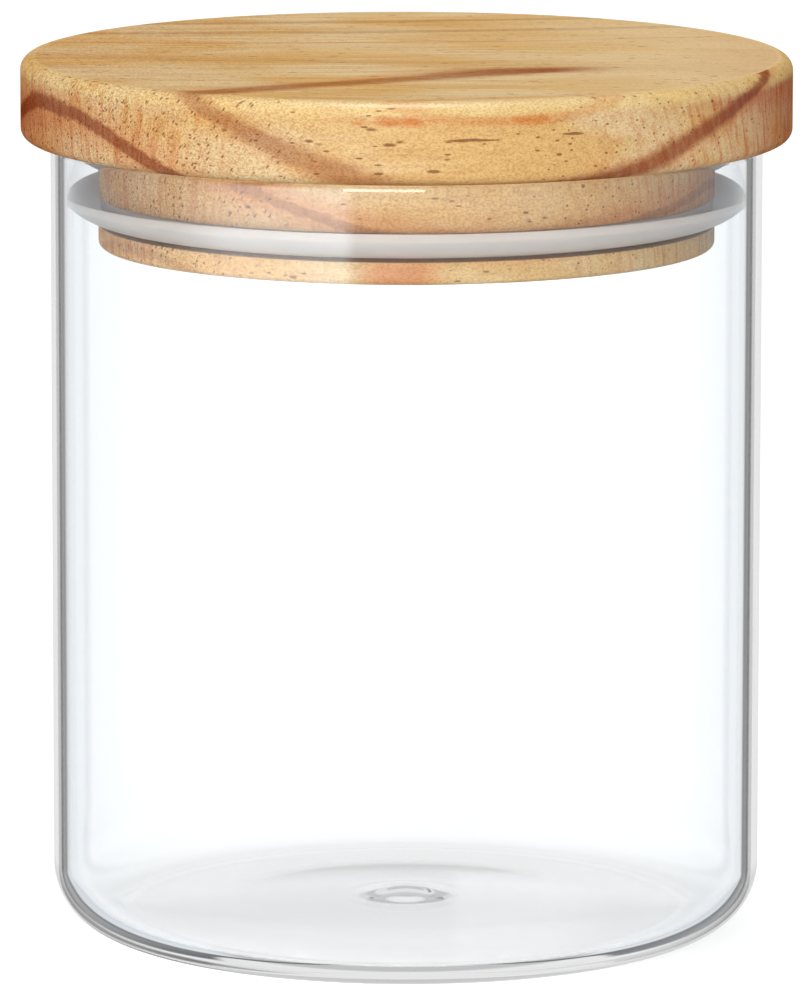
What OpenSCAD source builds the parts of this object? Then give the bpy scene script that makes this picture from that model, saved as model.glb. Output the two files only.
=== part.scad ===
// Glass storage jar with a plugged wooden lid and a silicone lip seal.
// Every piece is turned about the Z axis. The origin is the middle of the foot,
// on the surface that the jar stands on, and the lid is drawn pressed home.

/* [Glass jar] */
// Outside diameter of the jar
jar_d = 100; // [85:1:130]
// Height of the jar from its foot to its rim
jar_h = 112.5; // [80:0.5:220]
// Thickness of the wall
wall_t = 2.2; // [1.6:0.1:3.5]
// Thickness of the floor above the foot
floor_t = 2.3; // [1.6:0.1:5]
// Outer radius of the heel, where the wall turns into the base
heel_r = 9.1; // [6:0.1:14]
// Inner radius of the corner between the wall and the floor
hollow_corner_r = 7; // [3:0.1:12]
// Width of the flat ring that the jar stands on
foot_w = 1.6; // [0.6:0.1:4]
// Height to which the base is pushed up in its middle
punt_rise = 1.8; // [0.6:0.1:4]
// Share of the pushed-up base's radius that is a hollow blend, next to the foot
punt_blend = 0.3; // [0.1:0.05:0.6]
// Rounding of the fire-polished rim on its outside
rim_out_r = 1.0; // [0.2:0.1:1.2]
// Rounding of the fire-polished rim on its inside, as far as the wall has room for it
rim_in_r = 1.4; // [0.4:0.1:2]
// Width of the flat that is left on the rim, at least
rim_flat = 0.2; // [0.1:0.05:0.4]

/* [Knot in the floor] */
// Diameter of the knot of glass where the tube was closed
knot_d = 16.5; // [8:0.5:24]
// Height of the knot above the floor
knot_h = 0.9; // [0.3:0.1:2]
// Diameter of the dimple under the knot
dimple_d = 10; // [6:0.5:20]
// Depth of the dimple
dimple_h = 0.5; // [0.2:0.1:1.2]

/* [Wooden lid] */
// Thickness of the lid's disc
lid_t = 11.4; // [7:0.1:20]
// How far the disc stands out past the glass
lid_overhang = 4.15; // [1:0.05:8]
// Rounding of the disc's top edge
lid_top_r = 1.8; // [0.5:0.1:3]
// Rounding of the disc's bottom edge
lid_bottom_r = 1.5; // [0.5:0.1:3]
// Length of the plug below the disc
plug_h = 14.9; // [13:0.1:24]
// Gap all round between the plug and the glass, which the seal bridges
plug_gap = 4.5; // [3:0.1:7]
// Rounding of the plug's lower edge
plug_edge_r = 0.8; // [0.3:0.1:1.5]

/* [Seal groove] */
// Height of the land of wood below the groove
land_h = 3.2; // [2:0.1:5]
// Height of the groove
groove_h = 3.9; // [3.4:0.1:4]
// Depth of the groove in the plug
groove_depth = 2.5; // [1.5:0.1:4]

/* [Silicone seal] */
// Depth of the groove that the seal's band leaves open
band_inset = 0.3; // [0.1:0.1:0.8]
// Gap that the seal leaves below it in the groove
band_slack = 0.55; // [0.1:0.05:0.8]
// Thickness of the lip where it leaves the band
lip_root_t = 1.8; // [0.8:0.1:2]
// Height of the land at the lip's tip that wipes the glass
lip_land_h = 1.0; // [0.6:0.1:2.5]
// How far the lip climbs between the groove and the glass
lip_rise = 2.9; // [1:0.1:4]
// Bow of the lip's faces, as the mouth bends it upwards
lip_bow = 0.5; // [0.2:0.05:0.9]

/* [Fits] */
// Clearance between the lid's disc and the rim
seat_fit = 0.05; // [0.02:0.01:0.2]
// Running clearance between the seal's band and the groove
band_fit = 0.06; // [0.03:0.01:0.1]
// Running clearance between the lip's land and the glass
lip_fit = 0.05; // [0.02:0.01:0.1]

/* [Hidden] */

round_fn = 256;
shallow_fn = 1440;
// Share of the knot's and the dimple's radius that is a hollow blend
knot_blend = 0.5;
// Overlap that lets a cutter or a joined form run past a face
past = 1;

jar_r = jar_d / 2;
mouth_r = jar_r - wall_t;
foot_r = jar_r - heel_r;
punt_r = foot_r - foot_w;
floor_r = mouth_r - hollow_corner_r;
rim_in_fit_r = min(rim_in_r, wall_t - rim_out_r - rim_flat);

lid_r = jar_r + lid_overhang;
disc_z = jar_h + seat_fit;
plug_r = mouth_r - plug_gap;
plug_z = disc_z - plug_h;
groove_z = plug_z + land_h;
groove_top_z = groove_z + groove_h;
groove_r = plug_r - groove_depth;

band_z = groove_z + band_slack;
band_top_z = groove_top_z - band_fit;
band_in_r = groove_r + band_fit;
band_out_r = plug_r - band_inset;
lip_tip_r = mouth_r - lip_fit;

glass_colour = [0.86, 0.93, 0.95, 0.4];
wood_colour = [0.87, 0.67, 0.43];
silicone_colour = [0.93, 0.94, 0.94];

// Radius of the arc over a chord of the given length, with the given bow
function bow_radius(chord, bow) = (chord * chord / 4 + bow * bow) / (2 * bow);

// How far the base's dome, of radius r, has sunk at x from its middle
function sag_of(r, x) =
    let (dome_r = bow_radius(2 * r, punt_rise) * (1 - punt_blend))
    dome_r - sqrt(dome_r * dome_r - x * x);

// Centre of the arc that bows to the right of the line from a to b
function bow_centre(a, b, bow) =
    let (line = b - a, left = [-line[1], line[0]] / norm(line))
    (a + b) / 2 + left * (bow_radius(norm(line), bow) - bow);

// The sharp bit outside a round corner of radius r, whose arc is centred here
module corner_bit(r) {
    difference() {
        square(r + past);
        circle(r = r, $fn = round_fn);
    }
}

// Half section from the axis out to radius r, between two heights,
// with its outer corners rounded
module turned_section(r, low, high, low_r, high_r) {
    difference() {
        translate([0, low]) square([r, high - low]);
        translate([r - low_r, low + low_r]) mirror([0, 1]) corner_bit(low_r);
        translate([r - high_r, high - high_r]) corner_bit(high_r);
    }
}

// Half section of a shallow dome on the height z, whose edge runs out level
// through a hollow blend that takes the given share of its radius
module dome_section(r, rise, z, blend) {
    arcs_r = bow_radius(2 * r, rise);
    blend_r = arcs_r * blend;
    dome_r = arcs_r - blend_r;
    intersection() {
        translate([0, z + rise - dome_r]) circle(r = dome_r, $fn = shallow_fn);
        translate([0, z - past]) square([r, rise + 2 * past]);
    }
    difference() {
        translate([0, z - past]) square([r, rise * blend + past]);
        translate([r, z + blend_r]) circle(r = blend_r, $fn = shallow_fn);
    }
}

// Knot or dimple: a small dome on the height z
module knot_section(d, rise, z) {
    dome_section(d / 2, rise, z, knot_blend);
}

// Disc whose edge passes through a and b, bowed to the right of the line a to b
module bowed_disc(a, b, bow) {
    translate(bow_centre(a, b, bow)) circle(r = bow_radius(norm(b - a), bow), $fn = round_fn);
}

module hollow_section() {
    difference() {
        translate([0, floor_t]) square([mouth_r, jar_h - floor_t + past]);
        translate([floor_r, floor_t + hollow_corner_r]) mirror([0, 1]) corner_bit(hollow_corner_r);
        dome_section(floor_r, punt_rise, floor_t, punt_blend);
        knot_section(knot_d, knot_h, floor_t + punt_rise - sag_of(floor_r, knot_d / 2));
    }
}

module jar_section() {
    difference() {
        turned_section(jar_r, 0, jar_h, heel_r, rim_out_r);
        hollow_section();
        translate([mouth_r + rim_in_fit_r, jar_h - rim_in_fit_r]) mirror([1, 0])
            corner_bit(rim_in_fit_r);
        dome_section(punt_r, punt_rise, 0, punt_blend);
        knot_section(dimple_d, dimple_h, punt_rise - sag_of(punt_r, dimple_d / 2));
    }
}

module lid_section() {
    difference() {
        union() {
            turned_section(lid_r, disc_z, disc_z + lid_t, lid_bottom_r, lid_top_r);
            difference() {
                translate([0, plug_z]) square([plug_r, plug_h + past]);
                translate([plug_r - plug_edge_r, plug_z + plug_edge_r]) mirror([0, 1])
                    corner_bit(plug_edge_r);
            }
        }
        translate([groove_r, groove_z]) square([groove_depth + past, groove_h]);
    }
}

// The lip leaves the band level and is bent up until its land lies on the glass
module lip_section() {
    low_root = [plug_r, band_z];
    low_tip = [lip_tip_r, band_z + lip_rise];
    top_root = low_root + [0, lip_root_t];
    top_tip = low_tip + [0, lip_land_h];
    difference() {
        intersection() {
            bowed_disc(low_root, low_tip, lip_bow);
            translate([band_in_r, band_z]) square([lip_tip_r - band_in_r, top_tip[1] - band_z]);
        }
        bowed_disc(top_root, top_tip, lip_bow);
    }
}

module seal_section() {
    union() {
        translate([band_in_r, band_z]) square([band_out_r - band_in_r, band_top_z - band_z]);
        lip_section();
    }
}

module glass_jar() {
    color(glass_colour) rotate_extrude($fn = round_fn) jar_section();
}

module wooden_lid() {
    color(wood_colour) rotate_extrude($fn = round_fn) lid_section();
}

module silicone_seal() {
    color(silicone_colour) rotate_extrude($fn = round_fn) seal_section();
}

glass_jar();
wooden_lid();
silicone_seal();
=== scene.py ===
"""Glass storage jar with a plugged wooden lid and a silicone lip seal.

The three pieces are turned about Z from half sections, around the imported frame.
Sizes are in metres; half sections are lists of (radius, height).
"""

import math

import bpy
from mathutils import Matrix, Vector


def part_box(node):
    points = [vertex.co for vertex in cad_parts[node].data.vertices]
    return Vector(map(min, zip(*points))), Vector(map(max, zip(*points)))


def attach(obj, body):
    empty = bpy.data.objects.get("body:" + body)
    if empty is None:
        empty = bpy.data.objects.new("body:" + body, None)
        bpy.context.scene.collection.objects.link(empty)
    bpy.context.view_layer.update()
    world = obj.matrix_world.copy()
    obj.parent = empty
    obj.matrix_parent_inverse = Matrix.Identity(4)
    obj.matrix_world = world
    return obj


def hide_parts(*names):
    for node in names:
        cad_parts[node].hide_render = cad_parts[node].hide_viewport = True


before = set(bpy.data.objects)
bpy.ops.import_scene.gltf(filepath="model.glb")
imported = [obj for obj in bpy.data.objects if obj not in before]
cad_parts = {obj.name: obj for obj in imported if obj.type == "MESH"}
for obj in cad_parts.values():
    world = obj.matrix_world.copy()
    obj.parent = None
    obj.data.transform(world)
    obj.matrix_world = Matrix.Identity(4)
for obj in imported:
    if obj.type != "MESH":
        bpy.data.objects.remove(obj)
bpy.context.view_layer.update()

bl_info = {
    "name": "Glass Storage Jar",
    "version": (1, 0, 0),
    "blender": (4, 5, 0),
    "location": "View3D > Sidebar > Storage Jar",
    "description": "Turns a glass jar, its wooden lid and its silicone seal, and lights them",
    "category": "Add Mesh",
}

MM = 0.001
JAR_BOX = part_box("glass_jar")
LID_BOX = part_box("wooden_lid")
SEAL_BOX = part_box("silicone_seal")
JAR_RADIUS = JAR_BOX[1][0]
JAR_HEIGHT = JAR_BOX[1][2]
LID_RADIUS = LID_BOX[1][0]
LID_TOP = LID_BOX[1][2]
PLUG_BOTTOM = LID_BOX[0][2]
# Steps round the axis, and along each rounding of the half sections
TURNING_STEPS = 256
HEEL_STEPS, CORNER_STEPS, DOME_STEPS = 24, 20, 8
RIM_OUTSIDE_STEPS, RIM_INSIDE_STEPS = 6, 10
PLUG_STEPS, LID_BOTTOM_STEPS, LID_TOP_STEPS = 6, 8, 10
LIP_STEPS = 12
# How far past a rounding the extra point lies that keeps the next face flat
SUPPORT = 0.4 * MM
# How far the two points of a crisp corner lie from it
EDGE_WEAR = 0.12 * MM
# Points that are closer than this are one point
WELD = 0.002 * MM
# Corners that turn by less than this are shaded smooth
SMOOTH_ANGLE = math.radians(50)


def linear(red, green, blue):
    """A colour written as it looks on a screen, 0 to 255, in Blender's linear values."""
    def channel(value):
        share = value / 255
        return share / 12.92 if share <= 0.04045 else ((share + 0.055) / 1.055) ** 2.4

    return channel(red), channel(green), channel(blue)


# Settings

def length(name, description, default):
    """A setting in Blender's length unit."""
    return bpy.props.FloatProperty(
        name=name, description=description, default=default, min=0.0, unit="LENGTH", precision=5
    )


def tint(name, description, default):
    """A setting that is a colour."""
    return bpy.props.FloatVectorProperty(
        name=name, description=description, default=default, size=3, min=0.0, max=1.0, subtype="COLOR"
    )


class GlassSettings(bpy.types.PropertyGroup):
    """Sizes and looks of the glass jar."""
    wall: length("Wall", "Thickness of the wall", 2.2 * MM)
    floor: length("Floor", "Thickness of the floor above the foot", 2.3 * MM)
    heel: length("Heel", "Outer radius where the wall turns into the base", 9.1 * MM)
    corner: length("Corner", "Inner radius between wall and floor", 7.0 * MM)
    foot_width: length("Foot width", "Width of the ring that the jar stands on", 1.6 * MM)
    punt: length("Punt", "Height to which the base is pushed up", 1.8 * MM)
    punt_blend: bpy.props.FloatProperty(
        name="Punt blend", description="Share of the base's radius that is a hollow blend",
        default=0.3, min=0.0, max=1.0,
    )
    rim_outside: length("Rim outside", "Rounding of the rim outside", 1.0 * MM)
    rim_inside: length("Rim inside", "Rounding of the rim inside", 1.0 * MM)
    knot_radius: length("Knot radius", "Radius of the knot in the floor", 8.25 * MM)
    knot_height: length("Knot height", "Height of the knot", 0.9 * MM)
    dimple_radius: length("Dimple radius", "Radius of the dimple under the knot", 5.0 * MM)
    dimple_depth: length("Dimple depth", "Depth of the dimple", 0.5 * MM)
    bend: bpy.props.FloatProperty(
        name="Refraction", description="How far borosilicate glass bends light", default=1.473, min=1.0
    )
    caught_light: bpy.props.FloatProperty(
        name="Caught light", description="Brightness of the light caught in the walls", default=0.5
    )


class LidSettings(bpy.types.PropertyGroup):
    """Sizes and colours of the wooden lid."""
    thickness: length("Thickness", "Thickness of the disc", 11.4 * MM)
    top_round: length("Top edge", "Rounding of the disc's top edge", 1.8 * MM)
    bottom_round: length("Bottom edge", "Rounding of the disc's bottom edge", 1.5 * MM)
    plug_radius: length("Plug radius", "Radius of the plug", 43.3 * MM)
    plug_round: length("Plug edge", "Rounding of the plug's lower edge", 0.8 * MM)
    groove_depth: length("Groove depth", "Depth of the seal's groove", 2.5 * MM)
    groove_height: length("Groove height", "Height of the seal's groove", 3.9 * MM)
    land: length("Land", "Height of the wood below the groove", 3.2 * MM)
    early_wood: tint("Early wood", "Pale wood between the bands", linear(246, 218, 168))
    warm_wood: tint("Warm wood", "Warmer stretches of the pale wood", linear(240, 198, 130))
    late_wood: tint("Late wood", "Reddish growth bands", linear(156, 76, 34))
    amber: tint("Amber", "Amber stain round the bands and on the edges", linear(222, 132, 56))
    grit: tint("Grit", "Tone of the fine grit between the fibres", linear(206, 168, 128))
    # Painted highlight: the light yellow colour laid on the rounded top edge
    painted_highlight: tint("Bleached", "Yellow tone of the rounded top edge", linear(255, 232, 158))
    pore: tint("Pores", "Dark pores and flecks", linear(128, 60, 24))


class SealSettings(bpy.types.PropertyGroup):
    """Sizes and colour of the silicone seal."""
    band_inset: length("Band inset", "Depth of the groove left open by the band", 0.3 * MM)
    band_slack: length("Band slack", "Gap under the band in its groove", 0.55 * MM)
    band_fit: length("Band fit", "Clearance between band and groove", 0.06 * MM)
    lip_thickness: length("Lip thickness", "Thickness of the lip at its root", 1.8 * MM)
    lip_land: length("Lip land", "Height of the land on the glass", 1.0 * MM)
    lip_rise: length("Lip rise", "How far the lip climbs", 2.9 * MM)
    lip_bow: length("Lip bow", "Bow of the lip's faces", 0.5 * MM)
    colour: tint("Silicone", "Colour of the silicone", linear(198, 192, 186))


class StageSettings(bpy.types.PropertyGroup):
    """The camera, the floor and the light of the room."""
    lens: bpy.props.FloatProperty(
        name="Lens", description="Focal length in millimetres", default=326.98, min=1.0
    )
    camera_side: bpy.props.FloatProperty(
        name="Camera side", description="Camera's place along X", default=-0.00016, unit="LENGTH"
    )
    camera_back: length("Camera back", "Camera's distance in front of the jar", 1.2569)
    camera_height: length("Camera height", "Camera's height above the floor", 0.27535)
    pitch: bpy.props.FloatProperty(
        name="Pitch", description="Camera's tilt below the horizon", default=math.radians(9.673),
        subtype="ANGLE",
    )
    roll: bpy.props.FloatProperty(
        name="Roll", description="Camera's turn about its own axis", default=0.0012, subtype="ANGLE"
    )
    floor_size: length("Floor size", "Width of the floor", 6.0)
    backdrop: tint("Backdrop", "Colour of the floor and the room", (1.0, 1.0, 1.0))
    mirrored_tint: tint("Mirrored tint", "Cool colour of the room's sides in the glass", (0.8, 0.91, 1.0))
    side_light: bpy.props.FloatProperty(
        name="Side light", description="Brightness of the room's sides and back in the glass",
        default=0.84,
    )
    veil: bpy.props.FloatProperty(
        name="Veil", description="Brightness of the front left window in the glass", default=2.5
    )
    light_level: bpy.props.FloatProperty(
        name="Light level", description="Mean brightness of the room's light", default=0.25
    )
    light_swing: bpy.props.FloatProperty(
        name="Light swing", description="How much brighter the lit side is than the mean", default=0.8
    )
    light_way: bpy.props.FloatVectorProperty(
        name="Light way", description="Where the room's light comes from", default=(-0.2, -0.15, 0.97)
    )
    floor_glow: bpy.props.FloatProperty(
        name="Floor glow", description="Added brightness of the floor to the eye", default=0.74
    )
    glow_tint: tint("Glow tint", "Colour of the floor's added brightness", (0.97, 0.99, 1.0))


# Half sections

def arc(centre, radius, start, end, steps):
    """Points on an arc from one angle to another, in degrees, with both ends."""
    turn = math.radians(end - start) / steps
    first = math.radians(start)
    angles = [first + turn * i for i in range(steps + 1)]
    return [(centre[0] + radius * math.cos(a), centre[1] + radius * math.sin(a)) for a in angles]


def bow_radius(chord, bow):
    """Radius of the arc over a chord, with the given bow."""
    return (chord * chord / 4 + bow * bow) / (2 * bow)


def bowed(start, end, bow, steps):
    """Points from start to end on an arc that bows to the right of the line."""
    start, end = Vector(start), Vector(end)
    line = end - start
    left = Vector((-line.y, line.x)).normalized()
    radius = bow_radius(line.length, bow)
    centre = (start + end) / 2 + left * (radius - bow)
    first = math.degrees(math.atan2(start.y - centre.y, start.x - centre.x))
    last = math.degrees(math.atan2(end.y - centre.y, end.x - centre.x))
    if last < first:
        last += 360
    return arc(centre, radius, first, last, steps)


def dome(radius, rise, base, share, from_x=0.0):
    """A shallow dome from near its middle out to its level edge, of which a share is hollow."""
    arcs = bow_radius(2 * radius, rise)
    blend = arcs * share
    crown = arcs - blend
    meet = radius - radius * share
    points = []
    for i in range(DOME_STEPS + 1):
        x = from_x + (meet - from_x) * i / DOME_STEPS
        points.append((x, base + rise - crown + math.sqrt(crown * crown - x * x)))
    for i in range(1, DOME_STEPS + 1):
        x = meet + (radius - meet) * i / DOME_STEPS
        points.append((x, base + blend - math.sqrt(blend * blend - (radius - x) ** 2)))
    return points


def knot(radius, rise, base):
    """A small dome, half crown and half hollow blend."""
    return dome(radius, rise, base, 0.5)


def glass_section(g):
    """The jar's closed half section, from the axis under the base round to the axis inside."""
    foot = JAR_RADIUS - g.heel
    punt = foot - g.foot_width
    mouth = JAR_RADIUS - g.wall
    floor = mouth - g.corner

    def sag(radius, x):
        """How far the base's dome has sunk at x from its middle."""
        crown = bow_radius(2 * radius, g.punt) * (1 - g.punt_blend)
        return crown - math.sqrt(crown * crown - x * x)

    points = knot(g.dimple_radius, g.dimple_depth, g.punt - sag(punt, g.dimple_radius))
    points += dome(punt, g.punt, 0.0, g.punt_blend, g.dimple_radius + SUPPORT)
    points += arc((foot, g.heel), g.heel, -90, 0, HEEL_STEPS)
    points.append((JAR_RADIUS, g.heel + SUPPORT))
    points.append((JAR_RADIUS, JAR_HEIGHT - g.rim_outside - SUPPORT))
    rim_outside = JAR_RADIUS - g.rim_outside, JAR_HEIGHT - g.rim_outside
    points += arc(rim_outside, g.rim_outside, 0, 90, RIM_OUTSIDE_STEPS)
    rim_inside = mouth + g.rim_inside, JAR_HEIGHT - g.rim_inside
    points += arc(rim_inside, g.rim_inside, 90, 180, RIM_INSIDE_STEPS)
    points.append((mouth, JAR_HEIGHT - g.rim_inside - SUPPORT))
    points.append((mouth, g.floor + g.corner + SUPPORT))
    points += arc((floor, g.floor + g.corner), g.corner, 0, -90, CORNER_STEPS)
    inside = dome(floor, g.punt, g.floor, g.punt_blend, g.knot_radius + SUPPORT)
    points += inside[-2::-1]
    points += knot(g.knot_radius, g.knot_height, g.floor + g.punt - sag(floor, g.knot_radius))[::-1]
    return points


def lid_section(d):
    """The lid's half section, from the axis under the plug round to the axis on top."""
    low = LID_TOP - d.thickness
    groove = PLUG_BOTTOM + d.land
    groove_radius = d.plug_radius - d.groove_depth
    points = [(0.0, PLUG_BOTTOM), (d.plug_radius - d.plug_round - SUPPORT, PLUG_BOTTOM)]
    plug_edge = d.plug_radius - d.plug_round, PLUG_BOTTOM + d.plug_round
    points += arc(plug_edge, d.plug_round, -90, 0, PLUG_STEPS)
    points += sharp((d.plug_radius, groove), (0, -1), (-1, 0))
    points += sharp((groove_radius, groove), (1, 0), (0, 1))
    points += sharp((groove_radius, groove + d.groove_height), (0, -1), (1, 0))
    points += sharp((d.plug_radius, groove + d.groove_height), (-1, 0), (0, 1))
    points += sharp((d.plug_radius, low), (0, -1), (1, 0))
    points.append((LID_RADIUS - d.bottom_round - SUPPORT, low))
    bottom_edge = LID_RADIUS - d.bottom_round, low + d.bottom_round
    points += arc(bottom_edge, d.bottom_round, -90, 0, LID_BOTTOM_STEPS)
    points.append((LID_RADIUS, low + d.bottom_round + SUPPORT))
    points.append((LID_RADIUS, LID_TOP - d.top_round - SUPPORT))
    top_edge = LID_RADIUS - d.top_round, LID_TOP - d.top_round
    points += arc(top_edge, d.top_round, 0, 90, LID_TOP_STEPS)
    points += [(LID_RADIUS - d.top_round - SUPPORT, LID_TOP), (0.0, LID_TOP)]
    return points


def sharp(corner, back, ahead):
    """A crisp corner as two close points, a hair back and a hair ahead, for an edge softened by wear."""
    return [
        (corner[0] + back[0] * EDGE_WEAR, corner[1] + back[1] * EDGE_WEAR),
        (corner[0] + ahead[0] * EDGE_WEAR, corner[1] + ahead[1] * EDGE_WEAR),
    ]


def seal_section(s, d):
    """The seal's closed half section: a band in the groove and a lip bent up to the glass."""
    groove = PLUG_BOTTOM + d.land
    inner = d.plug_radius - d.groove_depth + s.band_fit
    outer = d.plug_radius - s.band_inset
    tip = SEAL_BOX[1][0]
    low = groove + s.band_slack
    high = groove + d.groove_height - s.band_fit
    low_root, low_tip = (d.plug_radius, low), (tip, low + s.lip_rise)
    top_root = (d.plug_radius, low + s.lip_thickness)
    top_tip = (tip, low + s.lip_rise + s.lip_land)
    points = sharp((inner, low), (0, 1), (1, 0))
    points += bowed(low_root, low_tip, s.lip_bow, LIP_STEPS)
    lip_top = bowed(top_root, top_tip, s.lip_bow, LIP_STEPS)[::-1]
    points += [p for p in lip_top if p[0] > outer + EDGE_WEAR]
    points.append((outer, low + s.lip_thickness))
    points += sharp((outer, high), (0, -1), (-1, 0))
    points += sharp((inner, high), (1, 0), (0, -1))
    return points


# Modelling

def lone_vertex(name, point):
    """A new object in edit mode that holds one selected vertex."""
    bpy.ops.mesh.primitive_plane_add(size=MM, location=(0, 0, 0))
    piece = bpy.context.object
    piece.name = piece.data.name = name
    bpy.ops.object.mode_set(mode="EDIT")
    bpy.ops.mesh.select_all(action="SELECT")
    bpy.ops.mesh.merge(type="CENTER")
    bpy.ops.transform.translate(value=(point[0], 0, point[1]))
    return piece


def turned(name, section):
    """Draws the half section by extruding a vertex along it, and spins it about Z."""
    bpy.ops.object.select_all(action="DESELECT")
    piece = lone_vertex(name, section[0])
    for here, there in zip(section, section[1:]):
        step = (there[0] - here[0], 0, there[1] - here[1])
        bpy.ops.mesh.extrude_region_move(TRANSFORM_OT_translate={"value": step})
    bpy.ops.mesh.select_all(action="SELECT")
    bpy.ops.mesh.spin(
        steps=TURNING_STEPS, angle=math.tau, center=(0, 0, 0), axis=(0, 0, 1), use_auto_merge=True
    )
    bpy.ops.mesh.select_all(action="SELECT")
    bpy.ops.mesh.remove_doubles(threshold=WELD)
    bpy.ops.mesh.normals_make_consistent(inside=False)
    bpy.ops.object.mode_set(mode="OBJECT")
    bpy.ops.object.shade_smooth_by_angle(angle=SMOOTH_ANGLE)
    return piece


def dressed(piece, material, body, node):
    """Gives a finished piece its material and its place in the frame."""
    piece.data.materials.clear()
    piece.data.materials.append(material)
    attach(piece, body)
    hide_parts(node)


# Node building

class Field:
    """A number that varies over a surface or a direction, made of shader nodes."""

    def __init__(self, tree, socket):
        self.tree = tree
        self.socket = socket

    def math(self, operation, *others):
        """The result of one of Blender's math operations on this field and others."""
        node = self.tree.nodes.new("ShaderNodeMath")
        node.operation = operation
        for slot, value in zip(node.inputs, (self, *others)):
            join(self.tree, value, slot)
        return Field(self.tree, node.outputs[0])

    def __add__(self, other):
        return self.math("ADD", other)

    def __sub__(self, other):
        return self.math("SUBTRACT", other)

    def __mul__(self, other):
        return self.math("MULTIPLY", other)

    def __truediv__(self, other):
        return self.math("DIVIDE", other)

    def __rsub__(self, other):
        return (self * -1) + other

    def size(self):
        return self.math("ABSOLUTE")

    def least(self, other):
        return self.math("MINIMUM", other)

    def most(self, other):
        return self.math("MAXIMUM", other)

    def over(self, other):
        return self.math("GREATER_THAN", other)

    def ease(self, low, high, start=0.0, end=1.0):
        """Runs smoothly from start to end as the field goes from low to high."""
        node = self.tree.nodes.new("ShaderNodeMapRange")
        node.interpolation_type = "SMOOTHSTEP"
        for name, value in (
            ("Value", self), ("From Min", low), ("From Max", high), ("To Min", start), ("To Max", end)
        ):
            join(self.tree, value, node.inputs[name])
        return Field(self.tree, node.outputs[0])


def join(tree, value, slot):
    """Feeds a field, a socket or a plain value into an input."""
    if isinstance(value, Field):
        tree.links.new(value.socket, slot)
    elif isinstance(value, bpy.types.NodeSocket):
        tree.links.new(value, slot)
    else:
        slot.default_value = value


def blended(tree, share, first, second, how="MIX"):
    """A colour between first and second."""
    node = tree.nodes.new("ShaderNodeMix")
    node.data_type = "RGBA"
    node.blend_type = how
    join(tree, share, node.inputs["Factor"])
    for value, name in ((first, "A"), (second, "B")):
        slot = next(s for s in node.inputs if s.name == name and s.type == "RGBA")
        join(tree, (*value, 1.0) if isinstance(value, tuple) else value, slot)
    return next(s for s in node.outputs if s.type == "RGBA")


def vector(tree, x, y, z):
    """Three fields or numbers as one vector."""
    node = tree.nodes.new("ShaderNodeCombineXYZ")
    for slot, value in zip(node.inputs, (x, y, z)):
        join(tree, value, slot)
    return node.outputs[0]


def noise(tree, place, detail, roughness=0.5):
    """Smooth noise around 0.5, whose marks are about one unit long."""
    node = tree.nodes.new("ShaderNodeTexNoise")
    join(tree, place, node.inputs["Vector"])
    node.inputs["Scale"].default_value = 1.0
    node.inputs["Detail"].default_value = detail
    node.inputs["Roughness"].default_value = roughness
    return Field(tree, node.outputs["Fac"])


def new_material(name):
    """A material with an empty tree, its shader and its output."""
    material = bpy.data.materials.new(name)
    material.use_nodes = True
    tree = material.node_tree
    tree.nodes.clear()
    shader = tree.nodes.new("ShaderNodeBsdfPrincipled")
    output = tree.nodes.new("ShaderNodeOutputMaterial")
    tree.links.new(shader.outputs[0], output.inputs["Surface"])
    return material, tree, shader, output


def millimetres(tree):
    """The object's own coordinates in millimetres, as three fields."""
    place = tree.nodes.new("ShaderNodeTexCoord").outputs["Object"]
    scaled = tree.nodes.new("ShaderNodeVectorMath")
    scaled.operation = "SCALE"
    tree.links.new(place, scaled.inputs[0])
    scaled.inputs["Scale"].default_value = 1 / MM
    split = tree.nodes.new("ShaderNodeSeparateXYZ")
    tree.links.new(scaled.outputs[0], split.inputs[0])
    return [Field(tree, s) for s in split.outputs]


# Materials

# A ray that has met more surfaces, or been mirrored more often, counts as caught in the glass
CAUGHT_DEPTH = 8.5
CAUGHT_MIRRORED = 3.5


def clear_glass(settings):
    """Clear glass that lets lamp light through, with a glow for light caught in its walls."""
    material, tree, shader, output = new_material("clear_glass")
    shader.inputs["Base Color"].default_value = (1, 1, 1, 1)
    shader.inputs["Roughness"].default_value = 0.0
    shader.inputs["IOR"].default_value = settings.bend
    shader.inputs["Transmission Weight"].default_value = 1.0
    rays = tree.nodes.new("ShaderNodeLightPath")
    caught = tree.nodes.new("ShaderNodeEmission")
    caught.inputs["Strength"].default_value = settings.caught_light
    through = tree.nodes.new("ShaderNodeBsdfTransparent")
    surface = shader.outputs[0]
    mirrored_often = Field(tree, rays.outputs["Glossy Depth"]).over(CAUGHT_MIRRORED)
    trapped = Field(tree, rays.outputs["Ray Depth"]).over(CAUGHT_DEPTH).most(mirrored_often)
    for share, other in ((trapped, caught), (rays.outputs["Is Shadow Ray"], through)):
        mix = tree.nodes.new("ShaderNodeMixShader")
        join(tree, share, mix.inputs[0])
        tree.links.new(surface, mix.inputs[1])
        tree.links.new(other.outputs[0], mix.inputs[2])
        surface = mix.outputs[0]
    tree.links.new(surface, output.inputs["Surface"])
    return material


# Heights and places below are in millimetres. A growth ring is a bowl: its height on
# the axis, its slopes along and across the grain, and its three bends, per BOWL_SCALE.
BOWL_SCALE = 50.0
FRONT_RING = (102.42, -1.76, -16.98, 7.96, 8.27, -16.78)
TOP_RING = (121.06, 0.18, -19.80, 2.64, 9.88, -26.44)
# Faint bands above the top ring, by their height above it
FAINT_BANDS = (22.0, 36.0)
FAINT_WIDTH = 2.2
FAINT_STRENGTH = 0.3
# Amber spots on the front of the disc: middle, half width, height and strength
AMBER_SPOTS = ((-1.0, 8.5, 121.4, 0.9), (16.5, 4.5, 121.3, 0.8))
# Long open pores on the front of the disc: middle, height and half length
DASHES = ((9.0, 118.8, 4.2), (22.5, 119.2, 1.6))
DASH_HALF_WIDTH = 0.22
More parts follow.
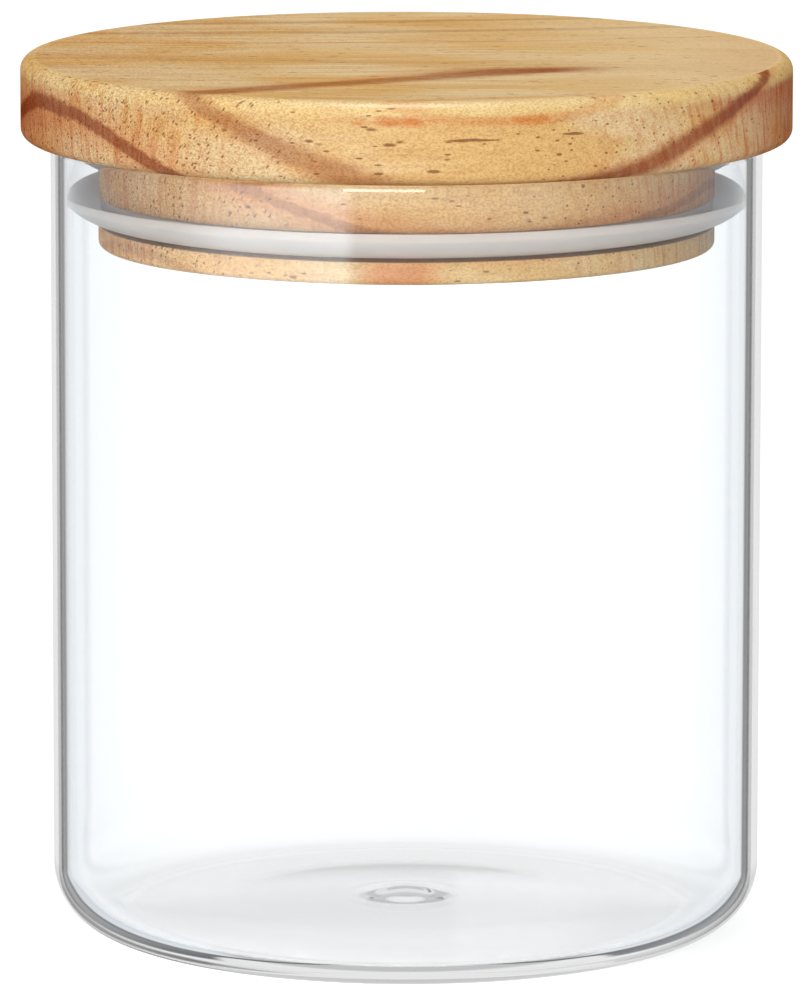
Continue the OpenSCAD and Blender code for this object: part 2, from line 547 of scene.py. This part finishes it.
# Kinds of pore: the length and width of a cell, and the size of its pore in cells. A cell's
# random share gives its pore's size, from nothing at the fourth number to full at the fifth.
# The sixth is a slope. The fine pores' shares change from left to right.
FINE_PORES = (3.6, 0.85, 0.2)
LONG_PORES = (7.0, 2.0, 0.12, 0.35, 0.55)
SLANTED_STROKES = (2.6, 0.95, 0.27, 0.2, 0.55, 1.2)
FLECKS = (6.0, 1.5, 0.2, 0.45, 0.7)
DOTS = (1.7, 1.2, 0.15, 0.2, 0.5)
# The rounded top edge, which gets the painted highlight, by its height and its distance from the axis
CREST_LOW, CREST_HIGH = 121.3, 122.7
CREST_RADIUS = 52.0
# Height of the painted shade in the groove's gap under the seal, and how softly it starts and ends
GAP_HEIGHT = 0.65
GAP_START, GAP_END = 0.15, 0.5
# Tones of the lid's two ends (end grain and painted shade), of the painted shade on the lower plug and of
# the painted shade in the gap
END_GRAIN_AND_SHADE_TONE = (0.75, 0.45, 0.45)
# Painted shade on the lower plug, darker towards its bottom and its right
PAINTED_PLUG_SHADE_TONE = (0.7, 0.75, 0.7)
PAINTED_GAP_SHADE_TONE = (0.45, 0.36, 0.3)


def growth_ring(x, y, z, shape):
    """Rise above a bowl-shaped growth ring, the ring's slope across the grain and its stretch."""
    base, along, across, along_bend, twist, across_bend = shape
    u, v = x / BOWL_SCALE, y / BOWL_SCALE
    height = u * (u * along_bend + v * twist + along) + v * (v * across_bend + across) + base
    lean = (u * twist + v * (2 * across_bend) + across) / BOWL_SCALE
    pitch = (u * (2 * along_bend) + v * twist + along) / BOWL_SCALE
    stretch = (lean * lean + pitch * pitch + 1.0).math("SQRT")
    return z - height, lean, stretch


def stained(tree, share, colour, tone):
    """A colour multiplied towards a tone."""
    return blended(tree, share, colour, tone, "MULTIPLY")


def squared(field):
    """A field times itself, for the distance from a middle."""
    return field * field


def growth_bands(place, front, flat_top, wobble, ragged):
    """Shares of the reddish growth bands and of the amber stain round them."""
    x, y, z = place
    rise_top, lean_top, stretch_top = growth_ring(x, y, z, TOP_RING)
    top = rise_top, stretch_top
    thin = rise_top, (lean_top.size() * 1.67).most(0.25).least(stretch_top)

    def band(rise, stretch, height, thickness, strength, edge=0.3):
        """One growth band, at a height above or below its ring."""
        off = ((rise - height) / stretch + wobble).size()
        return off.ease(thickness * (0.5 - edge), thickness * (0.5 + edge), strength, 0.0)

    strong = flat_top * 0.08 + x.ease(0.0, 25.0, 0.54, 0.9)
    clear_right = x.ease(18.0, 32.0, 1.0, 0.15).most(1.0 - flat_top)
    fading = lean_top.ease(-0.06, 0.04, 0.1, strong) * clear_right
    spread = z.ease(98.0, 116.0, 0.5, 1.0)
    dip = x.ease(-46.0, -34.0, 0.0, -0.8)
    arch_width = z.ease(118.0, 123.5, 1.8, 2.4) * spread
    bands = band(*front, dip, arch_width, z.ease(109.0, 114.0, 0.4, 0.88), 0.2)
    bands = bands.most(band(*front, -15.4, spread * 2.5, x.ease(-10.0, 20.0, 0.32, 0.7), 0.3))
    bands = bands.most(band(*thin, 0.0, flat_top * 0.5 + 2.8, fading))
    for height in FAINT_BANDS:
        bands = bands.most(band(*top, height, FAINT_WIDTH, FAINT_STRENGTH))

    halo = band(*front, -0.4, 4.6, 0.4).most(band(*thin, -0.4, 4.2, fading * 0.4))
    halo = halo.most(band(*top, 10.9, 1.0, 0.4))
    for middle, half_width, height, share in AMBER_SPOTS:
        reach = (squared((x - middle) / half_width) + squared((z - height) * 1.1)).math("SQRT")
        spot = (reach + ragged * 2.0).ease(0.2, 1.1, share, 0.0)
        halo = halo.most(spot * (1.0 - y.over(0.0)))
    plug_end = z.ease(99.5, 102.5, 0.8, 0.0) * (x + 1.0).size().ease(2.0, 8.0, 1.0, 0.0)
    return bands, halo.most(plug_end)


def open_pores(tree, place, flat_top, left, ragged):
    """Share of dark pores: fine and long ones all over, and strokes, flecks and dots in front."""
    x, y, z = place

    def pits(long, wide, size, least, most, slope=0.0):
        """Pores: thin cells along the grain or up a slope, of which only some are open."""
        cells = tree.nodes.new("ShaderNodeTexVoronoi")
        cell = vector(tree, (x + z * slope) / long, y / wide, (z - x * slope) / wide)
        join(tree, cell, cells.inputs["Vector"])
        cells.inputs["Scale"].default_value = 1.0
        reach = Field(tree, cells.outputs["Color"]).ease(least, most, 0.01, size)
        return Field(tree, cells.outputs["Distance"]).ease(reach * 0.5, reach * 1.1, 1.0, 0.0)

    crowding = left * -0.2 + 0.42
    pores = pits(*FINE_PORES, crowding, crowding + 0.25).most(pits(*LONG_PORES))
    strokes = pits(*SLANTED_STROKES) * x.ease(-20.0, -8.0, 1.0, 0.0)
    flecks = pits(*FLECKS) * (x + 8.0).size().ease(14.0, 22.0, 1.0, 0.0)
    dots = pits(*DOTS) * x.ease(12.0, 20.0) * x.ease(36.0, 42.0, 1.0, 0.0)
    pores = pores.most(strokes.most(flecks).most(dots) * (1.0 - flat_top))
    for middle, height, half_length in DASHES:
        above = (z - height + ragged * 0.4) / DASH_HALF_WIDTH
        reach = squared((x - middle) / half_length) + squared(above)
        pores = pores.most(reach.ease(0.5, 1.1, 1.0, 0.0) * (1.0 - y.over(0.0)))
    return pores


def turned_wood(settings):
    """Satin wood with reddish growth bands, long fibres, rays, pores and amber edges, and painted
    highlights and shade.
    """
    material, tree, shader, _ = new_material("turned_wood")
    x, y, z = place = millimetres(tree)
    early, warm, late, amber, grit, painted_highlight, pore = [
        tuple(getattr(settings, name))
        for name in ("early_wood", "warm_wood", "late_wood", "amber", "grit", "painted_highlight", "pore")
    ]

    sway = noise(tree, vector(tree, x * 0.03, y * 0.12, z * 0.12), 3.0) - 0.5
    ragged = noise(tree, vector(tree, x * 0.3, y * 1.2, z * 1.2), 3.0) - 0.5
    fibres = noise(tree, vector(tree, x * 0.05, y * 1.3, z * 1.3), 4.0, 0.65)
    cloud = noise(tree, vector(tree, x * 0.04, y * 0.07, z * 0.12), 3.0)
    speckle = noise(tree, vector(tree, x * 2.4, y * 4.5, z * 4.5), 3.0, 0.6)
    rise_front, lean, stretch = growth_ring(x, y, z, FRONT_RING)
    front = rise_front, stretch
    across = y + lean * rise_front
    rays = noise(tree, vector(tree, x * 0.8, across * 1.5, rise_front * 0.1), 3.0, 0.6)

    flat_top = z.over(LID_TOP / MM - 0.02)
    crest = z.ease(CREST_LOW, CREST_HIGH) * (squared(x) + squared(y)).over(CREST_RADIUS ** 2)
    left = x.ease(-45.0, 0.0, 1.0, 0.0)
    end_grain = x.size().ease(12.0, 46.0) * (1.0 - flat_top * 0.75)
    bands, halo = growth_bands(place, front, flat_top, sway * 1.6 + ragged, ragged)
    pores = open_pores(tree, place, flat_top, left, ragged)

    colour = blended(tree, cloud.ease(0.36, 0.64), early, warm)
    colour = stained(tree, fibres.ease(0.4, 0.7, 0.0, flat_top * 0.25 + 0.25), colour, grit)
    colour = stained(tree, rays.ease(0.44, 0.68) * end_grain * 0.6, colour, amber)
    colour = blended(tree, halo, colour, amber)
    colour = blended(tree, bands * rays.ease(0.25, 0.6, 0.8, 1.0), colour, late)
    # Painted highlight: the rounded top edge lighter and yellower, more so towards the right
    painted_edge_highlight = crest * (1.0 - bands) * (1.0 - halo) * x.ease(15.0, 45.0, 0.35, 0.5)
    colour = blended(tree, painted_edge_highlight, colour, painted_highlight)
    # Painted sheen: the top face paler towards the right
    colour = blended(tree, flat_top * x.ease(0.0, 45.0) * (1.0 - bands) * 0.65, colour, early)
    grain = speckle.ease(0.42, 0.64, 0.0, left * 0.35 - flat_top * 0.2 + 0.48)
    colour = stained(tree, grain, colour, grit)
    # Painted shade: the lower plug darker towards its bottom and its right
    painted_plug_shade = z.ease(99.5, 103.0, 0.6, 0.0) * x.ease(-30.0, 0.0)
    colour = stained(tree, painted_plug_shade, colour, PAINTED_PLUG_SHADE_TONE)
    # The lid's two ends darker and redder: partly their end grain, partly painted shade on the sides
    # turned from the light
    ends = (x + z.ease(117.0, 122.0, 0.0, 6.0)).size().ease(41.0, 57.0)
    ends = ends * (1.0 - crest.most(flat_top) * 0.85)
    colour = stained(tree, ends, colour, END_GRAIN_AND_SHADE_TONE)
    groove = (PLUG_BOTTOM + settings.land) / MM
    gap_top = groove + GAP_HEIGHT
    # Painted shade in the gap of the groove, under the seal
    painted_gap_shade = z.ease(groove - GAP_START, groove) * z.ease(gap_top, gap_top + GAP_END, 1.0, 0.0)
    colour = stained(tree, painted_gap_shade, colour, PAINTED_GAP_SHADE_TONE)
    colour = blended(tree, pores * 0.75, colour, pore)
    join(tree, colour, shader.inputs["Base Color"])

    join(tree, fibres * 0.2 + pores * 0.3 + 0.3, shader.inputs["Roughness"])
    facing = Field(tree, tree.nodes.new("ShaderNodeLayerWeight").outputs["Facing"])
    join(tree, facing.ease(0.3, 0.75, 0.22, 0.0), shader.inputs["Specular IOR Level"])
    bump = tree.nodes.new("ShaderNodeBump")
    bump.inputs["Strength"].default_value = 0.35
    bump.inputs["Distance"].default_value = 0.1 * MM
    join(tree, fibres * 0.4 - speckle * 0.6 - pores, bump.inputs["Height"])
    tree.links.new(bump.outputs[0], shader.inputs["Normal"])
    return material


# Tone of the silicone's cloudy parts
CLOUDY_TONE = 0.93


def soft_silicone(settings):
    """Milky silicone that light sinks into."""
    material, tree, shader, _ = new_material("soft_silicone")
    x, y, z = millimetres(tree)
    cloudy = noise(tree, vector(tree, x * 0.1, y * 0.1, z * 0.6), 2.0)
    colour = tuple(settings.colour)
    shade = tuple(c * CLOUDY_TONE for c in colour)
    join(tree, blended(tree, cloudy, colour, shade), shader.inputs["Base Color"])
    shader.inputs["Roughness"].default_value = 0.32
    shader.inputs["IOR"].default_value = 1.41
    shader.inputs["Subsurface Weight"].default_value = 0.6
    shader.inputs["Subsurface Radius"].default_value = (1.0, 0.95, 0.9)
    shader.inputs["Subsurface Scale"].default_value = 3 * MM
    return material


def ray_kinds(tree):
    """Shares of rays that light something and of rays that were mirrored."""
    rays = tree.nodes.new("ShaderNodeLightPath")
    return [Field(tree, rays.outputs[kind + " Depth"]).over(0.5) for kind in ("Diffuse", "Glossy")]


# Share of the lamps' light that the floor sends back
FLOOR_TONE = 0.46


def pale_floor(settings):
    """A pale floor that keeps the shadow, shows white beyond it and isn't seen in reflections."""
    material, tree, shader, output = new_material("pale_floor")
    lighting, mirrored = ray_kinds(tree)
    shader.inputs["Base Color"].default_value = (*[c * FLOOR_TONE for c in settings.backdrop], 1.0)
    shader.inputs["Roughness"].default_value = 1.0
    shader.inputs["Specular IOR Level"].default_value = 0.0
    glow = tree.nodes.new("ShaderNodeEmission")
    glow.inputs["Color"].default_value = (*settings.glow_tint, 1.0)
    join(tree, (1.0 - lighting) * settings.floor_glow, glow.inputs["Strength"])
    lit = tree.nodes.new("ShaderNodeAddShader")
    tree.links.new(shader.outputs[0], lit.inputs[0])
    tree.links.new(glow.outputs[0], lit.inputs[1])
    mix = tree.nodes.new("ShaderNodeMixShader")
    join(tree, mirrored * (1.0 - lighting), mix.inputs[0])
    tree.links.new(lit.outputs[0], mix.inputs[1])
    tree.links.new(tree.nodes.new("ShaderNodeBsdfTransparent").outputs[0], mix.inputs[2])
    tree.links.new(mix.outputs[0], output.inputs["Surface"])
    return material


# The room as the glass mirrors and bends it. Angles round the jar are in degrees from the
# back, and heights are those of a direction, from -1 to 1. Pairs say where something
# begins and where it is whole, or where it begins to end and is gone.

# Dark flags behind the jar at both sides, which draw the glass edges. Upwards they first
# widen and then narrow again on their inner side.
FLAG_TURN = 1.5
FLAG_INSIDE, FLAG_INSIDE_LOW, FLAG_INSIDE_ADDED = 22.7, 15.0, 11.0
FLAG_WIDENS, FLAG_NARROWS = (-0.78, -0.62), (-0.34, -0.2)
FLAG_SOFTNESS = 1.5
FLAG_OUTSIDE = (29.0, 33.0)
FLAG_DARK = 0.9
# A narrow dark streak, low at the back
STREAK_PLACE, STREAK_WIDTH = -7.5, (1.5, 3.5)
STREAK_LOW, STREAK_HIGH = (-0.5, -0.44), (-0.3, -0.26)
STREAK_DARK = 0.8
# A bright window at the front left, which lies as a veil on the glass
VEIL_LEFT, VEIL_RIGHT, VEIL_LOW = (-166.0, -160.0), (-130.0, -95.0), (-0.2, -0.16)
# The front is brighter than the sides, and the floor and the ceiling are dimmer
FRONT = (95.0, 125.0)
FLOOR_LINE, FLOOR_LINE_LIGHT = (-0.84, -0.79), 0.62
CEILING_LINE, CEILING_LIGHT = (0.1, 0.3), 0.65
# Where the cool tint of the sides begins, and the least light from any direction
COOL_SIDES = (30.0, 45.0)
LEAST_LIGHT = 0.1


def studio_world(settings):
    """A white room, with soft light from the front left and dark flags for the glass edges."""
    world = bpy.data.worlds.new("studio_room")
    bpy.context.scene.world = world
    world.use_nodes = True
    tree = world.node_tree
    tree.nodes.clear()
    way = tree.nodes.new("ShaderNodeTexCoord").outputs["Generated"]
    split = tree.nodes.new("ShaderNodeSeparateXYZ")
    tree.links.new(way, split.inputs[0])
    x, y, z = [Field(tree, s) for s in split.outputs]
    lighting, mirrored = ray_kinds(tree)

    turn = x.math("ARCTAN2", y) * (180 / math.pi) - FLAG_TURN
    away = turn.size()
    inside = z.ease(*FLAG_NARROWS, FLAG_INSIDE_LOW, FLAG_INSIDE)
    inside = inside + z.ease(*FLAG_WIDENS, FLAG_INSIDE_ADDED, 0.0)
    flag = away.ease(inside - FLAG_SOFTNESS, inside + FLAG_SOFTNESS)
    flag = flag * away.ease(*FLAG_OUTSIDE, FLAG_DARK, 0.0)
    streak = (turn - STREAK_PLACE).size().ease(*STREAK_WIDTH, STREAK_DARK, 0.0)
    streak = streak * z.ease(*STREAK_LOW) * z.ease(*STREAK_HIGH, 1.0, 0.0)
    room = away.ease(*FRONT, settings.side_light, 1.0) * (1.0 - flag.most(streak))
    room = room * z.ease(*FLOOR_LINE, FLOOR_LINE_LIGHT, 1.0)
    room = room * z.ease(*CEILING_LINE, 1.0, CEILING_LIGHT)
    veil = turn.ease(*VEIL_LEFT) * turn.ease(*VEIL_RIGHT, 1.0, 0.0) * z.ease(*VEIL_LOW)
    room = room + veil * settings.veil

    kx, ky, kz = Vector(settings.light_way).normalized()
    lit_side = x * kx + y * ky + z * kz
    soft = (lit_side * settings.light_swing + settings.light_level).most(LEAST_LIGHT)
    strength = lighting * soft + (1.0 - lighting) * (mirrored * room + (1.0 - mirrored))
    cool = mirrored * (1.0 - lighting) * away.ease(*COOL_SIDES)
    background = tree.nodes.new("ShaderNodeBackground")
    colour = blended(tree, cool, tuple(settings.backdrop), tuple(settings.mirrored_tint))
    join(tree, colour, background.inputs["Color"])
    join(tree, strength, background.inputs["Strength"])
    output = tree.nodes.new("ShaderNodeOutputWorld")
    tree.links.new(background.outputs[0], output.inputs["Surface"])


# Lamps: place, width and height in metres, and power in watts
KEY_SOFTBOX = ((-0.16, -1.3, 0.2), 0.6, 0.36, 7.2)
TOP_CARD = ((-0.035, -0.1, 1.1), 0.2, 0.3, 12.0)


def softbox(name, aim, place, width, height, power):
    """A rectangular lamp turned towards a point."""
    bpy.ops.object.light_add(type="AREA", location=place)
    lamp = bpy.context.object
    lamp.name = lamp.data.name = name
    lamp.rotation_euler = (Vector(aim) - Vector(place)).to_track_quat("-Z", "Y").to_euler()
    lamp.data.shape = "RECTANGLE"
    lamp.data.size = width
    lamp.data.size_y = height
    lamp.data.energy = power
    lamp.visible_camera = False
    lamp.visible_transmission = False
    return lamp


# Operators

class STORAGEJAR_OT_glass(bpy.types.Operator):
    """Turns the glass jar and gives it clear glass"""
    bl_idname = "storage_jar.glass"
    bl_label = "Glass Jar"

    def execute(self, context):
        settings = context.scene.jar_glass
        piece = turned("jar_glass", glass_section(settings))
        dressed(piece, clear_glass(settings), "jar", "glass_jar")
        return {"FINISHED"}


class STORAGEJAR_OT_lid(bpy.types.Operator):
    """Turns the lid's disc and plug from one piece of wood"""
    bl_idname = "storage_jar.lid"
    bl_label = "Wooden Lid"

    def execute(self, context):
        settings = context.scene.jar_lid
        piece = turned("lid_wood", lid_section(settings))
        dressed(piece, turned_wood(settings), "lid", "wooden_lid")
        return {"FINISHED"}


class STORAGEJAR_OT_seal(bpy.types.Operator):
    """Moulds the silicone seal into the plug's groove"""
    bl_idname = "storage_jar.seal"
    bl_label = "Silicone Seal"

    def execute(self, context):
        scene = context.scene
        section = seal_section(scene.jar_seal, scene.jar_lid)
        piece = turned("lip_seal", section + section[:1])
        dressed(piece, soft_silicone(scene.jar_seal), "seal", "silicone_seal")
        return {"FINISHED"}


class STORAGEJAR_OT_stage(bpy.types.Operator):
    """Sets the floor, the room, the soft lamps and the camera"""
    bl_idname = "storage_jar.stage"
    bl_label = "Stage"

    def execute(self, context):
        settings = context.scene.jar_stage
        bpy.ops.object.select_all(action="DESELECT")
        bpy.ops.mesh.primitive_plane_add(size=settings.floor_size, location=(0, 0, 0))
        floor = context.object
        floor.name = floor.data.name = "floor"
        floor.data.materials.append(pale_floor(settings))
        studio_world(settings)
        middle = (0, 0, LID_TOP / 2)
        softbox("key_softbox", middle, *KEY_SOFTBOX)
        top_card = softbox("top_card", middle, *TOP_CARD)
        top_card.visible_diffuse = False
        bpy.ops.object.camera_add(
            location=(settings.camera_side, -settings.camera_back, settings.camera_height)
        )
        camera = context.object
        camera.name = "camera"
        camera.rotation_euler = (math.pi / 2 - settings.pitch, 0, 0)
        camera.rotation_euler.rotate_axis("Z", settings.roll)
        camera.data.lens = settings.lens
        context.scene.camera = camera
        context.scene.view_settings.view_transform = "Standard"
        return {"FINISHED"}


class STORAGEJAR_PT_sidebar(bpy.types.Panel):
    """Lists the steps that make the jar"""
    bl_idname = "STORAGEJAR_PT_sidebar"
    bl_label = "Storage Jar"
    bl_space_type = "VIEW_3D"
    bl_region_type = "UI"
    bl_category = "Storage Jar"

    def draw(self, context):
        """Shows each step's button above its settings."""
        for operator, settings in STEPS:
            self.layout.operator(operator.bl_idname)
            box = self.layout.box()
            group = getattr(context.scene, settings)
            for name in group.bl_rna.properties.keys():
                if name not in {"rna_type", "name"}:
                    box.prop(group, name)


STEPS = (
    (STORAGEJAR_OT_glass, "jar_glass"),
    (STORAGEJAR_OT_lid, "jar_lid"),
    (STORAGEJAR_OT_seal, "jar_seal"),
    (STORAGEJAR_OT_stage, "jar_stage"),
)
GROUPS = {
    "jar_glass": GlassSettings,
    "jar_lid": LidSettings,
    "jar_seal": SealSettings,
    "jar_stage": StageSettings,
}


def register():
    for name, group in GROUPS.items():
        bpy.utils.register_class(group)
        setattr(bpy.types.Scene, name, bpy.props.PointerProperty(type=group))
    for operator, _ in STEPS:
        bpy.utils.register_class(operator)
    bpy.utils.register_class(STORAGEJAR_PT_sidebar)


def unregister():
    bpy.utils.unregister_class(STORAGEJAR_PT_sidebar)
    for operator, _ in reversed(STEPS):
        bpy.utils.unregister_class(operator)
    for name, group in reversed(GROUPS.items()):
        delattr(bpy.types.Scene, name)
        bpy.utils.unregister_class(group)


def main():
    register()
    bpy.ops.storage_jar.glass()
    bpy.ops.storage_jar.lid()
    bpy.ops.storage_jar.seal()
    bpy.ops.storage_jar.stage()


if __name__ == "__main__":
    main()
